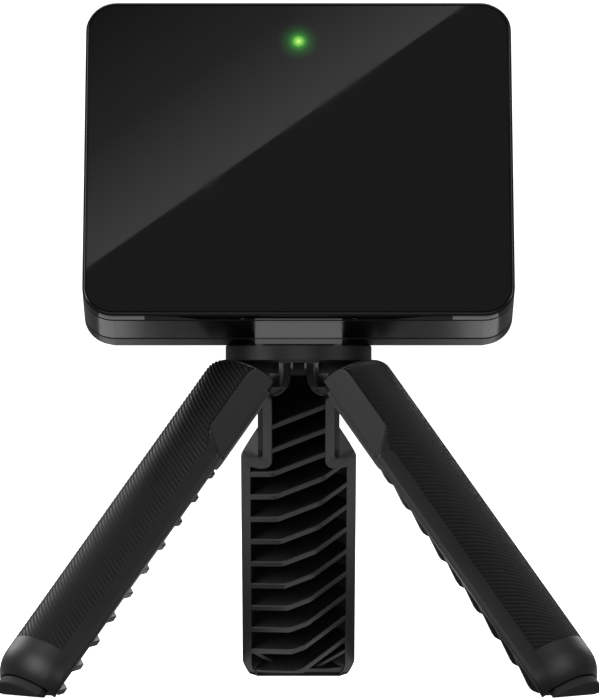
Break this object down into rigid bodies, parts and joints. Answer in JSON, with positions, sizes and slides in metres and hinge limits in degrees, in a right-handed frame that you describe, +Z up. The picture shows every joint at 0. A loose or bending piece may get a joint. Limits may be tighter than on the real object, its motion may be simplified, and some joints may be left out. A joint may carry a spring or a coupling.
{
  "type": "golf launch monitor",
  "caption": "Flat rounded radar unit with a glossy face, leaning back on a round hub over a small folding tripod with ribbed hollow legs and rubber feet.",
  "frame": {"origin": "middle of the footprint, on the surface that the feet stand on", "axes": "+Z up, the glass face looks towards -Y, +X to the right of someone facing the glass"},
  "size_m": [0.1232, 0.1103, 0.1434],
  "materials": {
    "cover_gloss": "deep black gloss, hard coated",
    "light_pipe": "clear moulded acrylic lit green",
    "seal_rubber": "matt moulded silicone",
    "housing_satin": "satin moulded black",
    "rear_plastic": "fine texture moulded black",
    "screw_steel": "zinc plated",
    "insert_brass": "turned brass",
    "circuit_board": "green solder mask",
    "copper": "gold flashed copper",
    "led_body": "lit green",
    "connector_plastic": "moulded nylon",
    "shield_metal": "tin plated sheet",
    "battery_wrap": "shrink film",
    "foam": "closed cell foam",
    "button_rubber": "matt moulded elastomer",
    "hub_plastic": "satin moulded black",
    "pin_steel": "ground steel",
    "leg_plastic": "glass filled nylon, moulded black",
    "foot_rubber": "matt moulded rubber"
  },
  "bodies": {
    "hub": {"hub_body": "hub_plastic", "hub_pad": "seal_rubber", "tripod_stud": "screw_steel", "pin_retainer": "hub_plastic", "retainer_screws": "screw_steel", "friction_washers": "screw_steel", "hinge_pin_left": "pin_steel", "hinge_pin_right": "pin_steel", "hinge_pin_rear": "pin_steel"},
    "unit": {"front_cover": "cover_gloss", "light_pipe": "light_pipe", "front_gasket": "seal_rubber", "mid_housing": "housing_satin", "rear_gasket": "seal_rubber", "rear_cover": "rear_plastic", "housing_screws": "screw_steel", "thread_insert": "insert_brass", "radar_board": "circuit_board", "patch_antennas": "copper", "status_led": "led_body", "main_board": "circuit_board", "board_spacers": "insert_brass", "board_screws": "screw_steel", "board_connector": "connector_plastic", "shield_can": "shield_metal", "battery_pack": "battery_wrap", "battery_foam": "foam", "switch_body": "connector_plastic", "usb_receptacle": "shield_metal"},
    "power_button": {"power_button": "button_rubber", "switch_plunger": "connector_plastic"},
    "usb_cap": {"usb_cap": "button_rubber"},
    "leg_left": {"leg_left": "leg_plastic", "foot_left": "foot_rubber"},
    "leg_right": {"leg_right": "leg_plastic", "foot_right": "foot_rubber"},
    "leg_rear": {"leg_rear": "leg_plastic", "foot_rear": "foot_rubber"}
  },
  "joints": [
    {"name": "leg_left_hinge", "type": "hinge", "parent": "hub", "child": "leg_left", "pos_m": [-0.00693, -0.0176, 0.0698], "axis": [0.5, -0.866, 0], "range_deg": [0, 39]},
    {"name": "leg_right_hinge", "type": "hinge", "parent": "hub", "child": "leg_right", "pos_m": [0.00693, -0.0176, 0.0698], "axis": [0.5, 0.866, 0], "range_deg": [0, 39]},
    {"name": "leg_rear_hinge", "type": "hinge", "parent": "hub", "child": "leg_rear", "pos_m": [0, -0.0056, 0.0698], "axis": [-1, 0, 0], "range_deg": [0, 39]},
    {"name": "unit_swivel", "type": "hinge", "parent": "hub", "child": "unit", "pos_m": [0, -0.0136, 0.0715], "axis": [0, 0, 1], "range_deg": [-180, 180]},
    {"name": "power_button_press", "type": "slide", "parent": "unit", "child": "power_button", "axis": [-1, 0, 0], "range_m": [0, 0.0004], "stiffness_N_per_m": 3000, "springref_m": -0.0003},
    {"name": "usb_cap_hinge", "type": "hinge", "parent": "unit", "child": "usb_cap", "pos_m": [-0.04445, -0.01601, 0.10146], "axis": [0, -0.9304, 0.3665], "range_deg": [0, 100]}
  ]
}
